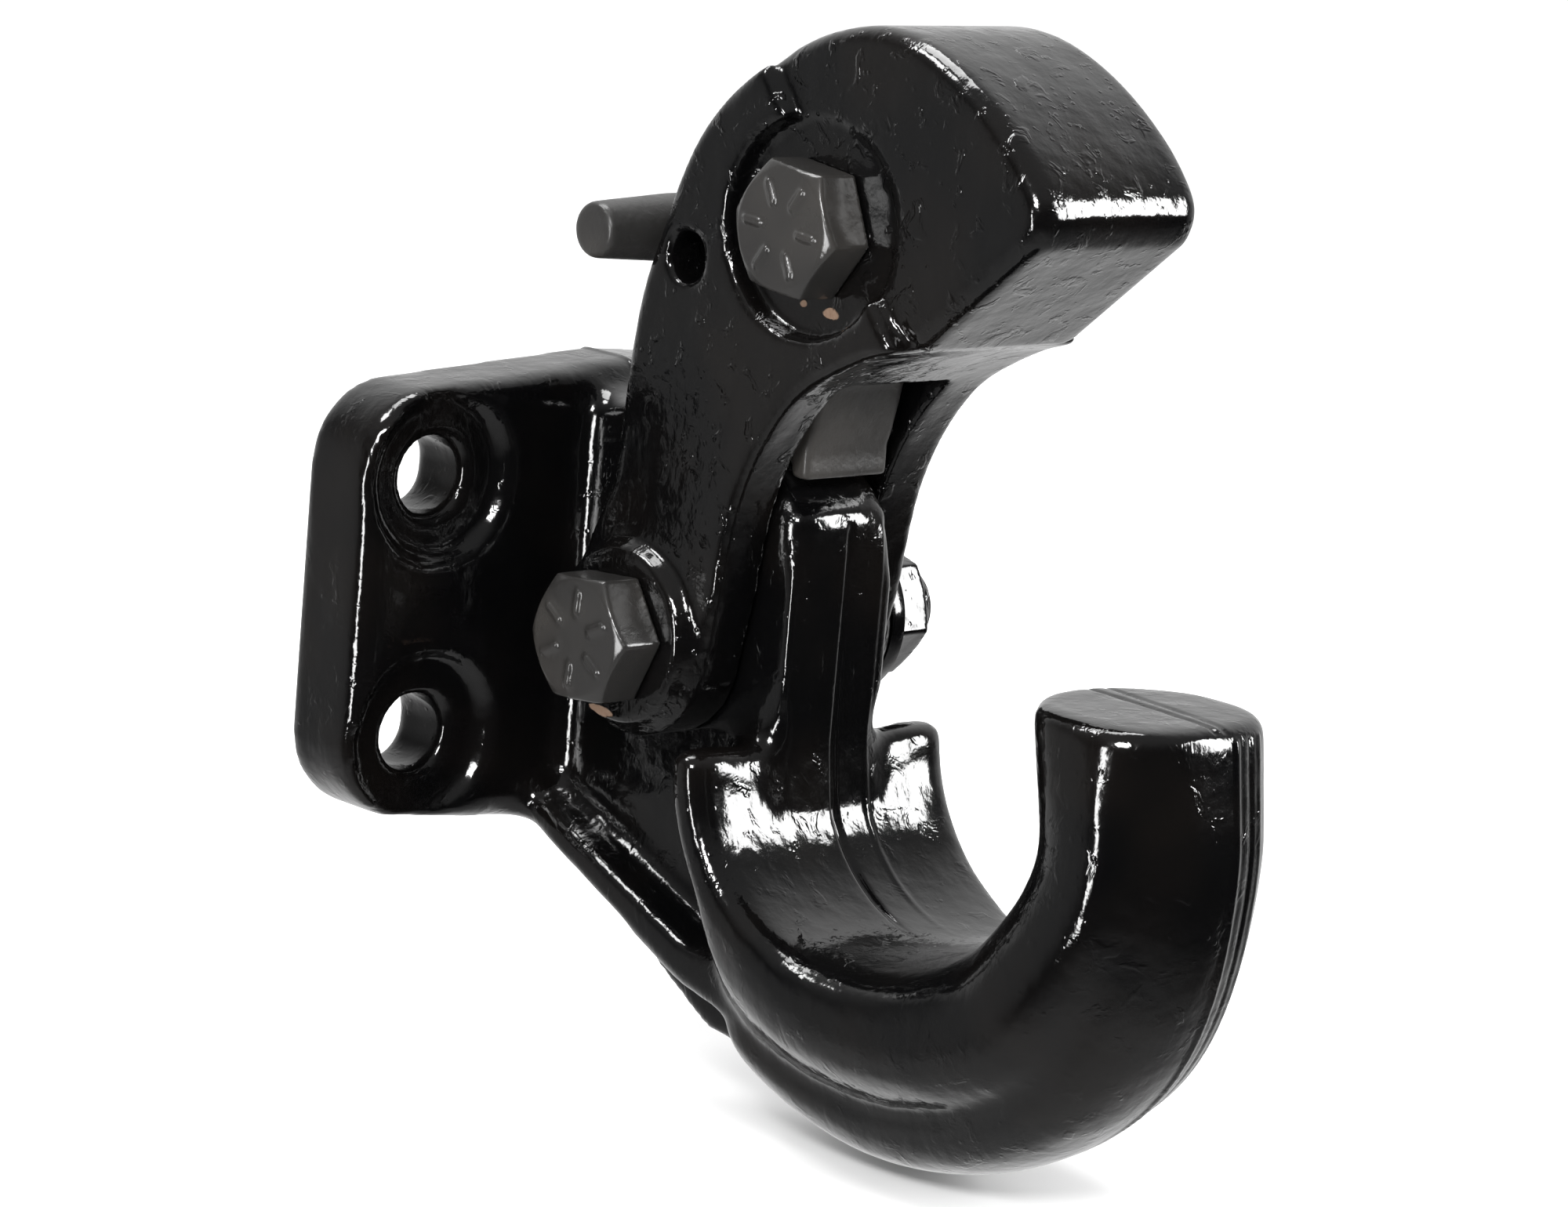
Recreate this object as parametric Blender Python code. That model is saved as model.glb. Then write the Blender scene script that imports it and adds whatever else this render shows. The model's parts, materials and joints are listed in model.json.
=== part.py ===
"""Four-bolt rigid-mount pintle hook, modelled as separate pieces.

Metres, +Z up. X runs across the hook, the mouth faces -Y and the mounting
plate's back face lies on Y = 0 with the centre of its bolt pattern at the origin.
"""
import math

import bmesh
import bpy
from mathutils import Matrix, Vector

MM = 0.001
GAP = 0.30                      # clearance between touching pieces, millimetres
CUT_OVER = 10.0                 # how far a cutter runs past the wall it cuts
ROUND_STEPS = 48

# --- mounting plate -------------------------------------------------------
BOLT_PITCH_X = 85.725           # 3 3/8 in
BOLT_PITCH_Z = 44.45            # 1 3/4 in
BOLT_HOLE_D = 13.5              # clears a 1/2 in bolt
SPOTFACE_D = 28.6
SPOTFACE_DEPTH = 3.0
PLATE_WIDTH = 118.0
PLATE_TOP_EDGE = 36.5
PLATE_TOP_RIDGE = 40.5
PLATE_LOW_EDGE = -35.2
PLATE_LOW_RIDGE = -41.5
PLATE_THICK = 17.0
PLATE_CORNER_R = 14.0
PLATE_RIDGE_R = 6.0
PLATE_EDGE_R = 3.5
PLATE_BACK_R = 0.8

# --- bolts, nuts and the washer, in proportion to the bolt ----------------
BOLT_D = 14.3                   # 9/16 in
BORE_D = BOLT_D + 2 * GAP
HEX_FLATS = 1.44 * BOLT_D
HEX_HEAD_H = 0.63 * BOLT_D
NUT_H = 0.86 * BOLT_D
NUT_CONE_H = 2.6                # round collar of the lock nut
WASHER_D = 2.03 * BOLT_D
WASHER_T = 3.0
BOLT_TAIL = 2.4                 # thread standing out of the nut
THREAD_CHAMFER = 1.2

# --- latch pivot, through the tower --------------------------------------
PIVOT_Y = -43.0
PIVOT_Z = -0.3

# --- tower, mouth and horn ------------------------------------------------
CHEEK_GAP = 24.0                # slot between the latch cheeks
WEB_HALF = CHEEK_GAP / 2 - GAP
WEB_EDGE_R = 3.0
MOUTH_Y = -98.0
MOUTH_Z = -15.0
MOUTH_R = 28.6
TOWER_FRONT_Y = MOUTH_Y + MOUTH_R - 1.1
TOWER_TOP_R = 36.0              # top of the tower, struck from the latch pivot
TIP_TOP_Z = 6.0
TIP_EDGE_R = 2.2
EAR_TOP = 0.0                   # degrees round the mouth where the ears stop
FLANGE_HALF = 20.0
FLANGE_EDGE_R = 2.5
WEB_LOW = [(-74.0, -40.0), (-68.0, -68.0), (-58.0, -66.5), (-40.0, -56.0),
           (-20.0, -45.0), (-8.0, -41.0)]
FLANGE_OUTLINE = [(-6.0, -36.5, 0), (-6.0, -31.0, 0), (-16.0, -31.5, 5), (-30.0, -37.5, 6),
                  (-60.0, -50.0, 4), (-76.0, -50.0, 0), (-76.0, -62.0, 4), (-58.0, -58.0, 10),
                  (-35.0, -47.6, 10), (-18.0, -40.0, 12)]
# Half sections of the horn as (across, depth below the mouth surface), by the
# degrees round the mouth at which each one stands.
HORN_SECTIONS = [
    (EAR_TOP, [(0, 0), (13, 0), (26, 0), (29.6, 2), (30, 4.4), (28.5, 6.8), (24, 7.4),
               (18, 7.4), (12, 7.4), (6, 7.4), (0, 7.4)]),
    (38, [(0, 0), (13, 0), (26, 0), (29.6, 2), (30, 4.4), (28.5, 6.8), (24, 7.4),
          (18, 7.4), (12, 7.4), (6, 7.4), (0, 7.4)]),
    (58, [(0, 0), (13, 0), (25.5, 0), (29.3, 2.4), (29.2, 6.4), (27, 13), (22.4, 18.6),
          (19.1, 22.7), (18.2, 28), (11, 33.6), (0, 35.9)]),
    (92, [(0, 0), (12, 0), (23, 0.6), (27.6, 3.9), (28.4, 9.4), (26.2, 15.5), (20.6, 20.4),
          (16.6, 23.2), (16.1, 28.2), (11, 34.2), (0, 36.9)]),
    (115, [(0, 0.2), (10.6, 0.7), (20.4, 2.6), (25.6, 6.2), (26.8, 12.2), (25.4, 18),
           (20, 22.6), (16.2, 24.8), (15.6, 29), (10.4, 34.4), (0, 36.7)]),
    (138, [(0, 0.6), (9, 1.6), (17.2, 4.6), (22.6, 9.4), (24.2, 15.4), (23.6, 20.6),
           (20.2, 25.2), (16.8, 27.8), (14.4, 31.6), (8.6, 35.1), (0, 36.3)]),
    (180, [(0, 2), (8, 2.8), (14.4, 6.4), (18.9, 11.4), (20.2, 16.9), (20.2, 20.4),
           (19.2, 23.6), (15.4, 27.2), (11, 30.2), (6, 31.5), (0, 31.8)]),
    (200, [(0, -4), (7.4, -2.8), (13.6, 1.2), (18, 6.4), (19, 12.2), (18.9, 16.4),
           (17.8, 20.6), (15.4, 24.2), (11.8, 26.9), (6.6, 28.3), (0, 28.6)])]
HORN_STEPS = 29
TIP_STEPS = 5

# --- latch ----------------------------------------------------------------
CHEEK_WALL = 10.3
CHEEK_HALF = CHEEK_GAP / 2 + CHEEK_WALL
CHEEK_EDGE_R = 1.6
NOSE_WALL = 7.0
NOSE_HALF = CHEEK_GAP / 2 + NOSE_WALL
NOSE_EDGE_R = 3.6
BOSS_D = WASHER_D + 2.0
BOSS_PROUD = 3.2
BOSS_CHAMFER = 0.8
HUB_R = 17.6
LOCK_Y = -75.9
LOCK_Z = 73.1
LOCK_SPOT_D = 36.0
LOCK_SEAT_HALF = NOSE_HALF - 1.0
PIN_Y = -48.9
PIN_Z = 64.3
PIN_D = 8.2
HUB_FRONT = [(-35.5, 25.0), (-36.3, 38.0)]
REAR_EDGE = [(-37.4, 50.0), (-39.1, 59.0), (-42.1, 67.5), (-45.5, 77.0), (-50.0, 85.5),
             (-56.2, 92.5), (-63.4, 98.0)]
NOSE_ROOT = [(-60.0, 80.0), (-60.0, 97.0)]
NOSE_TOP = [(-66.0, 101.2), (-72.5, 104.2), (-82.0, 106.5), (-91.0, 106.2), (-100.0, 103.4),
            (-109.0, 98.6), (-117.5, 92.0), (-123.2, 85.4), (-124.6, 81.0), (-123.2, 76.6)]
NOSE_UNDER = [(-100.2, 56.6), (-97.4, 58.2), (-74.0, 62.0)]
STEP_LOW = (-98.4, 56.4)
MOUTH_EDGE = [(-92.2, 54.4), (-85.4, 51.0), (-78.4, 46.6), (-73.2, 41.0), (-68.8, 34.0),
              (-65.6, 26.0), (-63.9, 18.0), (-62.7, 9.0)]
LATCH_SLOT = [(-78.6, 47.0, 0), (-84.0, 56.0, 6), (-91.2, 66.0, 8), (-91.2, 88.6, 8),
              (-66.0, 89.4, 4), (-56.0, 110.0, 0), (-20.0, 110.0, 0), (-20.0, -30.0, 0),
              (-78.6, -30.0, 0)]

# --- lock lever and its spring -------------------------------------------
LEVER_SIDE_ROOM = 2.5
LEVER_HALF = CHEEK_GAP / 2 - LEVER_SIDE_ROOM
LEVER_HUB_R = BOLT_D / 2 + 5.35
TOE_Z = 29.6
TOE_FRONT_Y = -68.3
TOE_LAND = 3.0
LEVER_SHANK = [(TOE_FRONT_Y, TOE_Z), (TOE_FRONT_Y - 2.9, 45.0), (-76.0, 55.5), (-84.2, 63.8),
               (LOCK_Y, LOCK_Z), (-64.6, 66.2), (-60.5, 56.0), (-59.6, 44.0),
               (TOE_FRONT_Y + TOE_LAND, TOE_Z)]
LEVER_ARM = [(LOCK_Y, LOCK_Z + 11.6, 0), (-58.0, 82.0, 8), (-41.0, 76.0, 8),
             (-27.6, 70.3, 4.5), (-27.6, 61.8, 4.5), (-38.0, 60.4, 3), (-42.5, 69.4, 4),
             (-66.0, 70.0, 0), (LOCK_Y, LOCK_Z - 4, 0)]
BAR_Y = -33.0
BAR_Z = 66.6
BAR_END_X = -28.8
BAR_END_R = 4.8
BAR_END_CHAMFER = 0.9
BAR_ROOT_R = 5.8
SPRING_WIRE_D = 2.2
SPRING_TURNS = 3
SPRING_MEAN_R = BOLT_D / 2 + GAP + SPRING_WIRE_D / 2 + 1.45
SPRING_PITCH = SPRING_WIRE_D + 0.25
SPRING_FIRST_DEG = -68.0        # where the first leg leaves the coil
SPRING_PART_TURN_DEG = 158.0    # turned beyond the last whole coil
SPRING_POCKET_R = SPRING_MEAN_R + SPRING_WIRE_D / 2 + 2.5
SPRING_POCKET_LOW = LEVER_HALF - SPRING_WIRE_D * SPRING_TURNS - 0.8


def clear_scene():
    for old in list(bpy.data.objects):
        bpy.data.objects.remove(old, do_unlink=True)


def material(name, colour, metallic, roughness):
    made = bpy.data.materials.new(name)
    made.use_nodes = True
    shader = made.node_tree.nodes["Principled BSDF"]
    shader.inputs["Base Color"].default_value = (*colour, 1.0)
    shader.inputs["Metallic"].default_value = metallic
    shader.inputs["Roughness"].default_value = roughness
    return made


def new_object(name, mesh_data, smooth=True):
    mesh = bpy.data.meshes.new(name)
    bmesh.ops.recalc_face_normals(mesh_data, faces=mesh_data.faces)
    mesh_data.to_mesh(mesh)
    mesh_data.free()
    for face in mesh.polygons:
        face.use_smooth = smooth
    made = bpy.data.objects.new(name, mesh)
    bpy.context.scene.collection.objects.link(made)
    return made


def rounded(corners, steps=6):
    """Outline through the (a, b, radius) corners, each rounded by an arc."""
    points = []
    count = len(corners)
    for i, (a, b, radius) in enumerate(corners):
        here = Vector((a, b))
        if radius <= 0:
            points.append((a, b))
            continue
        back = (Vector(corners[i - 1][:2]) - here).normalized()
        ahead = (Vector(corners[(i + 1) % count][:2]) - here).normalized()
        half = math.acos(max(-1.0, min(1.0, back.dot(ahead)))) / 2
        reach = radius / math.tan(half)
        centre = here + (back + ahead).normalized() * (radius / math.sin(half))
        start = here + back * reach - centre
        turn = math.pi - 2 * half
        if back.x * ahead.y - back.y * ahead.x > 0:
            turn = -turn
        for step in range(steps + 1):
            angle = turn * step / steps
            c, s = math.cos(angle), math.sin(angle)
            points.append((centre.x + start.x * c - start.y * s,
                           centre.y + start.x * s + start.y * c))
    return points


def arc(centre_a, centre_b, radius, start_deg, end_deg, steps):
    points = []
    for step in range(steps + 1):
        angle = math.radians(start_deg + (end_deg - start_deg) * step / steps)
        points.append((centre_a + radius * math.cos(angle),
                       centre_b + radius * math.sin(angle)))
    return points


def loft(name, loops, smooth=True):
    """Closed solid through equal-length loops of millimetre points, capped."""
    bm = bmesh.new()
    rings = [[bm.verts.new(Vector(p) * MM) for p in loop] for loop in loops]
    count = len(rings[0])
    for near, far in zip(rings, rings[1:]):
        for i in range(count):
            j = (i + 1) % count
            bm.faces.new((near[i], near[j], far[j], far[i]))
    bm.faces.new(rings[0])
    bm.faces.new(rings[-1])
    return new_object(name, bm, smooth)


def prism_x(name, outline, x_low, x_high):
    loops = [[(x, y, z) for y, z in outline] for x in (x_low, x_high)]
    return loft(name, loops, smooth=False)


def prism_y(name, outline, y_low, y_high):
    loops = [[(x, y, z) for x, z in outline] for y in (y_low, y_high)]
    return loft(name, loops, smooth=False)


def turned_x(name, y, z, profile, steps=ROUND_STEPS):
    """Solid of revolution about the X line through (y, z); profile is (x, radius)."""
    loops = []
    for x, radius in profile:
        ring = arc(y, z, radius, 0, 360, steps)[:-1]
        loops.append([(x, a, b) for a, b in ring])
    return loft(name, loops)


def cylinder_x(name, y, z, radius, x_low, x_high, steps=ROUND_STEPS):
    return turned_x(name, y, z, [(x_low, radius), (x_high, radius)], steps)


def cylinder_y(name, x, z, radius, y_low, y_high, steps=ROUND_STEPS):
    ring = arc(x, z, radius, 0, 360, steps)[:-1]
    return loft(name, [[(a, y, b) for a, b in ring] for y in (y_low, y_high)])


def bevel(target, width, segments=3, angle=50):
    rounder = target.modifiers.new("edge_round", "BEVEL")
    rounder.width = width * MM
    rounder.segments = segments
    rounder.limit_method = "ANGLE"
    rounder.angle_limit = math.radians(angle)
    rounder.use_clamp_overlap = True


def combine(target, other, operation):
    joiner = target.modifiers.new(operation.lower(), "BOOLEAN")
    joiner.operation = operation
    joiner.solver = "EXACT"
    joiner.object = other
    other.hide_render = True
    other.display_type = "WIRE"


def bake(target):
    """Replace the mesh by its finished shape and drop the helpers it used."""
    helpers = [m.object for m in target.modifiers if m.type == "BOOLEAN"]
    bpy.context.view_layer.update()
    graph = bpy.context.evaluated_depsgraph_get()
    finished = bpy.data.meshes.new_from_object(target.evaluated_get(graph))
    target.modifiers.clear()
    target.data = finished
    for helper in helpers:
        bpy.data.objects.remove(helper, do_unlink=True)
    return target


def smooth_by_angle(target, degrees=35):
    bm = bmesh.new()
    bm.from_mesh(target.data)
    for face in bm.faces:
        face.smooth = True
    for edge in bm.edges:
        edge.smooth = edge.calc_face_angle(0.0) < math.radians(degrees)
    bm.to_mesh(target.data)
    bm.free()


def set_origin(target, point):
    """Put the object's origin at a millimetre point without moving its mesh."""
    place = Vector(point) * MM
    target.data.transform(Matrix.Translation(-place))
    target.location = place


def dress(target, look):
    target.data.materials.clear()
    target.data.materials.append(look)


# --- hook body ------------------------------------------------------------
def plate_outline(inset):
    """The plate's outline drawn in by an inset, with its ridge at the middle."""
    half = PLATE_WIDTH / 2 - inset
    top, low = PLATE_TOP_EDGE - inset, PLATE_LOW_EDGE + inset
    corner = PLATE_CORNER_R - inset
    return rounded([
        (0, PLATE_TOP_RIDGE - inset, PLATE_RIDGE_R), (half, top, corner), (half, low, corner),
        (0, PLATE_LOW_RIDGE + inset, PLATE_RIDGE_R), (-half, low, corner),
        (-half, top, corner)])


def build_plate():
    steps = [(0.0, PLATE_BACK_R), (-PLATE_BACK_R, 0.0)]
    edge_steps = 4
    for step in range(edge_steps + 1):
        angle = math.radians(90 * step / edge_steps)
        steps.append((-PLATE_THICK + PLATE_EDGE_R * (1 - math.sin(angle)),
                      PLATE_EDGE_R * (1 - math.cos(angle))))
    return loft("plate", [[(x, y, z) for x, z in plate_outline(inset)] for y, inset in steps])


def build_web():
    """The tower and the rib under it, one plate thick between the cheeks."""
    root_y = WEB_LOW[-1][0]
    outline = [(root_y, TOWER_TOP_R + PIVOT_Z)]
    outline += arc(PIVOT_Y, PIVOT_Z, TOWER_TOP_R, 90, 139, 10)
    outline += [(TOWER_FRONT_Y, 17.0), (TOWER_FRONT_Y, MOUTH_Z - 1.0)] + WEB_LOW
    web = prism_x("web", outline, -WEB_HALF, WEB_HALF)
    bevel(web, WEB_EDGE_R, angle=60)
    return bake(web)


def build_flange():
    flange = prism_x("flange", rounded(FLANGE_OUTLINE), -FLANGE_HALF, FLANGE_HALF)
    bevel(flange, FLANGE_EDGE_R, angle=60)
    return bake(flange)


def eased(t):
    return t * t * (3 - 2 * t)


def section_at(stations, turn):
    for (a, near), (b, far) in zip(stations, stations[1:]):
        if turn <= b:
            t = eased((turn - a) / (b - a)) if b - a > 30 else (turn - a) / (b - a)
            return [(n[0] + (f[0] - n[0]) * t, n[1] + (f[1] - n[1]) * t)
                    for n, f in zip(near, far)]
    return stations[-1][1]


def spline_loop(half, subdivide=3):
    """Smooth closed loop through a half section and its mirror image."""
    ring = list(half) + [(-x, r) for x, r in reversed(half[1:-1])]
    count = len(ring)
    points = []
    for i in range(count):
        p0, p1, p2, p3 = (Vector(ring[(i + k) % count]) for k in (-1, 0, 1, 2))
        for step in range(subdivide):
            t = step / subdivide
            point = 0.5 * (2 * p1 + (p2 - p0) * t + (2 * p0 - 5 * p1 + 4 * p2 - p3) * t * t
                           + (3 * p1 - p0 - 3 * p2 + p3) * t ** 3)
            points.append((point.x, point.y))
    return points


def build_horn():
    loops = []
    for step in range(HORN_STEPS + 1):
        turn = EAR_TOP + (180 - EAR_TOP) * step / HORN_STEPS
        angle = math.radians(turn)
        ring = spline_loop(section_at(HORN_SECTIONS, turn))
        loops.append([(x, MOUTH_Y + (MOUTH_R + d) * math.cos(angle),
                       MOUTH_Z - (MOUTH_R + d) * math.sin(angle)) for x, d in ring])
    last_turn = HORN_SECTIONS[-1][0]
    for step in range(1, TIP_STEPS + 1):
        t = step / TIP_STEPS
        ring = spline_loop(section_at(HORN_SECTIONS, 180 + (last_turn - 180) * t))
        loops.append([(x, MOUTH_Y - MOUTH_R - d, MOUTH_Z + (TIP_TOP_Z - MOUTH_Z) * t)
                      for x, d in ring])
    horn = loft("horn", loops)
    bevel(horn, TIP_EDGE_R, angle=55)
    return bake(horn)


def build_hook_body(look):
    body = build_plate()
    body.name = "hook_body"
    for piece in (build_web(), build_flange(), build_horn()):
        combine(body, piece, "UNION")
    reach = WEB_HALF + CUT_OVER
    combine(body, cylinder_x("pivot_bore", PIVOT_Y, PIVOT_Z, BORE_D / 2, -reach, reach),
            "DIFFERENCE")
    front, floor = -PLATE_THICK - CUT_OVER, SPOTFACE_DEPTH - PLATE_THICK
    for sx in (-0.5, 0.5):
        for sz in (-0.5, 0.5):
            x, z = sx * BOLT_PITCH_X, sz * BOLT_PITCH_Z
            hole = cylinder_y("hole", x, z, BOLT_HOLE_D / 2, front, CUT_OVER)
            combine(body, hole, "DIFFERENCE")
            combine(body, cylinder_y("seat", x, z, SPOTFACE_D / 2, front, floor), "DIFFERENCE")
    bake(body)
    smooth_by_angle(body)
    dress(body, look)
    return body


# --- latch ----------------------------------------------------------------
def build_cheeks():
    outline = arc(PIVOT_Y, PIVOT_Z, HUB_R, 200, 375, 20)
    outline += HUB_FRONT + REAR_EDGE + [STEP_LOW] + MOUTH_EDGE
    cheeks = prism_x("cheeks", outline, -CHEEK_HALF, CHEEK_HALF)
    bevel(cheeks, CHEEK_EDGE_R, segments=2, angle=60)
    return bake(cheeks)


def build_nose():
    nose = prism_x("nose", NOSE_ROOT + NOSE_TOP + NOSE_UNDER, -NOSE_HALF, NOSE_HALF)
    bevel(nose, NOSE_EDGE_R, segments=4, angle=60)
    return bake(nose)


def build_boss():
    face = CHEEK_HALF + BOSS_PROUD
    return turned_x("boss", PIVOT_Y, PIVOT_Z, [
        (-face, BOSS_D / 2 - BOSS_CHAMFER), (-face + BOSS_CHAMFER, BOSS_D / 2),
        (face - BOSS_CHAMFER, BOSS_D / 2), (face, BOSS_D / 2 - BOSS_CHAMFER)])


def build_latch(look):
    latch = build_cheeks()
    latch.name = "latch"
    combine(latch, build_nose(), "UNION")
    combine(latch, build_boss(), "UNION")
    slot = prism_x("slot", rounded(LATCH_SLOT), -CHEEK_GAP / 2, CHEEK_GAP / 2)
    combine(latch, slot, "DIFFERENCE")
    reach = CHEEK_HALF + BOSS_PROUD + CUT_OVER
    for side in (-1, 1):
        seat = cylinder_x("seat", LOCK_Y, LOCK_Z, LOCK_SPOT_D / 2,
                          side * LOCK_SEAT_HALF, side * reach, 64)
        combine(latch, seat, "DIFFERENCE")
    for y, z, d in ((PIVOT_Y, PIVOT_Z, BORE_D), (LOCK_Y, LOCK_Z, BORE_D), (PIN_Y, PIN_Z, PIN_D)):
        combine(latch, cylinder_x("bore", y, z, d / 2, -reach, reach), "DIFFERENCE")
    bake(latch)
    smooth_by_angle(latch)
    set_origin(latch, (0, PIVOT_Y, PIVOT_Z))
    dress(latch, look)
    return latch


# --- lock lever and its spring -------------------------------------------
def build_lever_bar():
    root_x = -LEVER_HALF - 2.0
    return turned_x("bar", BAR_Y, BAR_Z, [
        (BAR_END_X, BAR_END_R - BAR_END_CHAMFER), (BAR_END_X + BAR_END_CHAMFER, BAR_END_R),
        (root_x, BAR_ROOT_R), (0.0, BAR_ROOT_R)], 32)


def build_lock_lever(look):
    shank = prism_x("lock_lever", LEVER_SHANK, -LEVER_HALF, LEVER_HALF)
    bevel(shank, 0.8, segments=2, angle=60)
    bake(shank)
    arm = prism_x("arm", rounded(LEVER_ARM), -LEVER_HALF, LEVER_HALF)
    bevel(arm, 1.2, segments=2, angle=60)
    combine(shank, bake(arm), "UNION")
    hub = cylinder_x("hub", LOCK_Y, LOCK_Z, LEVER_HUB_R, -LEVER_HALF - 0.01, LEVER_HALF - 0.01)
    combine(shank, hub, "UNION")
    combine(shank, build_lever_bar(), "UNION")
    pocket = cylinder_x("pocket", LOCK_Y, LOCK_Z, SPRING_POCKET_R, SPRING_POCKET_LOW,
                        LEVER_HALF + CUT_OVER)
    combine(shank, pocket, "DIFFERENCE")
    reach = LEVER_HALF + CUT_OVER
    combine(shank, cylinder_x("bore", LOCK_Y, LOCK_Z, BORE_D / 2, -reach, reach), "DIFFERENCE")
    bake(shank)
    smooth_by_angle(shank)
    set_origin(shank, (0, LOCK_Y, LOCK_Z))
    dress(shank, look)
    return shank


def tube(name, path, radius, steps=10):
    loops = []
    for i, here in enumerate(path):
        before = path[max(i - 1, 0)]
        after = path[min(i + 1, len(path) - 1)]
        along = (after - before).normalized()
        side = along.cross(Vector((1, 0, 0))).normalized()
        up = side.cross(along)
        ring = []
        for step in range(steps):
            angle = 2 * math.pi * step / steps
            ring.append(tuple(here + side * radius * math.cos(angle)
                              + up * radius * math.sin(angle)))
        loops.append(ring)
    return loft(name, loops)


def build_lock_spring(look):
    """Close coil round the lock bolt, with a straight leg at each end."""
    x_start = LEVER_HALF - SPRING_WIRE_D * SPRING_TURNS + 0.9
    first = math.radians(SPRING_FIRST_DEG)
    turned = math.radians(360 * (SPRING_TURNS - 1) + SPRING_PART_TURN_DEG)
    last = first + turned
    steps = 22 * SPRING_TURNS
    coil = []
    for step in range(steps + 1):
        angle = first + turned * step / steps
        coil.append(Vector((x_start + SPRING_PITCH * (angle - first) / (2 * math.pi),
                            LOCK_Y + SPRING_MEAN_R * math.cos(angle),
                            LOCK_Z + SPRING_MEAN_R * math.sin(angle))))
    first_way = Vector((0, math.sin(first), -math.cos(first)))
    last_way = Vector((0, -math.sin(last), math.cos(last)))
    path = [coil[0] + first_way * reach for reach in (3.6, 1.8)] + coil
    path += [coil[-1] + last_way * reach for reach in (2.0, 4.5)]
    spring = tube("lock_spring", path, SPRING_WIRE_D / 2)
    set_origin(spring, (0, LOCK_Y, LOCK_Z))
    dress(spring, look)
    return spring


# --- bolts, nuts and washer ----------------------------------------------
def hexagon(y, z, flats, turn_deg):
    radius = flats / math.sqrt(3)
    return [(y + radius * math.cos(math.radians(turn_deg + 60 * k)),
             z + radius * math.sin(math.radians(turn_deg + 60 * k))) for k in range(6)]


def hex_solid(name, y, z, x_low, x_high, cone_low, cone_high, turn_deg):
    """Hexagon prism along X with chamfered corners on the asked ends."""
    body = prism_x(name, hexagon(y, z, HEX_FLATS, turn_deg), x_low, x_high)
    flat_r = HEX_FLATS / 2 * 0.95
    full_r = HEX_FLATS / math.sqrt(3) + 0.6
    slope = math.tan(math.radians(30))
    run = (full_r - flat_r) * slope
    start = [(x_low, flat_r), (x_low + run, full_r)]
    end = [(x_high - run, full_r), (x_high, flat_r)]
    profile = start if cone_low else [(x_low - CUT_OVER, full_r)]
    profile += end if cone_high else [(x_high + CUT_OVER, full_r)]
    keep = turned_x(name + "_chamfer", y, z, profile, 48)
    combine(body, keep, "INTERSECT")
    return bake(body)


def build_bolt(name, y, z, seat, nut_end, turn_deg, look):
    under_head = -seat - GAP
    bolt = hex_solid(name, y, z, under_head - HEX_HEAD_H, under_head, True, False, turn_deg)
    end_x = nut_end + BOLT_TAIL
    shank = turned_x("shank", y, z, [
        (under_head - 2.0, BOLT_D / 2), (end_x - THREAD_CHAMFER, BOLT_D / 2),
        (end_x, BOLT_D / 2 - THREAD_CHAMFER)])
    combine(bolt, shank, "UNION")
    bake(bolt)
    smooth_by_angle(bolt)
    set_origin(bolt, (0, y, z))
    dress(bolt, look)
    return bolt


def build_nut(name, y, z, seat, turn_deg, look):
    low = seat + GAP
    nut = hex_solid(name, y, z, low, low + NUT_H - NUT_CONE_H, False, True, turn_deg)
    collar_r = 0.45 * HEX_FLATS
    cone = turned_x("cone", y, z, [
        (low + 1.0, collar_r), (low + NUT_H - NUT_CONE_H, collar_r),
        (low + NUT_H, 0.40 * HEX_FLATS)])
    combine(nut, cone, "UNION")
    thread = cylinder_x("thread", y, z, BORE_D / 2, low - CUT_OVER, low + NUT_H + CUT_OVER)
    combine(nut, thread, "DIFFERENCE")
    bake(nut)
    smooth_by_angle(nut)
    set_origin(nut, (0, y, z))
    dress(nut, look)
    return nut


def build_washer(name, y, z, seat, look):
    low = seat + GAP
    washer = cylinder_x(name, y, z, WASHER_D / 2, low, low + WASHER_T)
    bevel(washer, 0.4, segments=1, angle=60)
    bore = cylinder_x("bore", y, z, BORE_D / 2, low - CUT_OVER, low + WASHER_T + CUT_OVER)
    combine(washer, bore, "DIFFERENCE")
    bake(washer)
    smooth_by_angle(washer)
    set_origin(washer, (0, y, z))
    dress(washer, look)
    return washer


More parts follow.
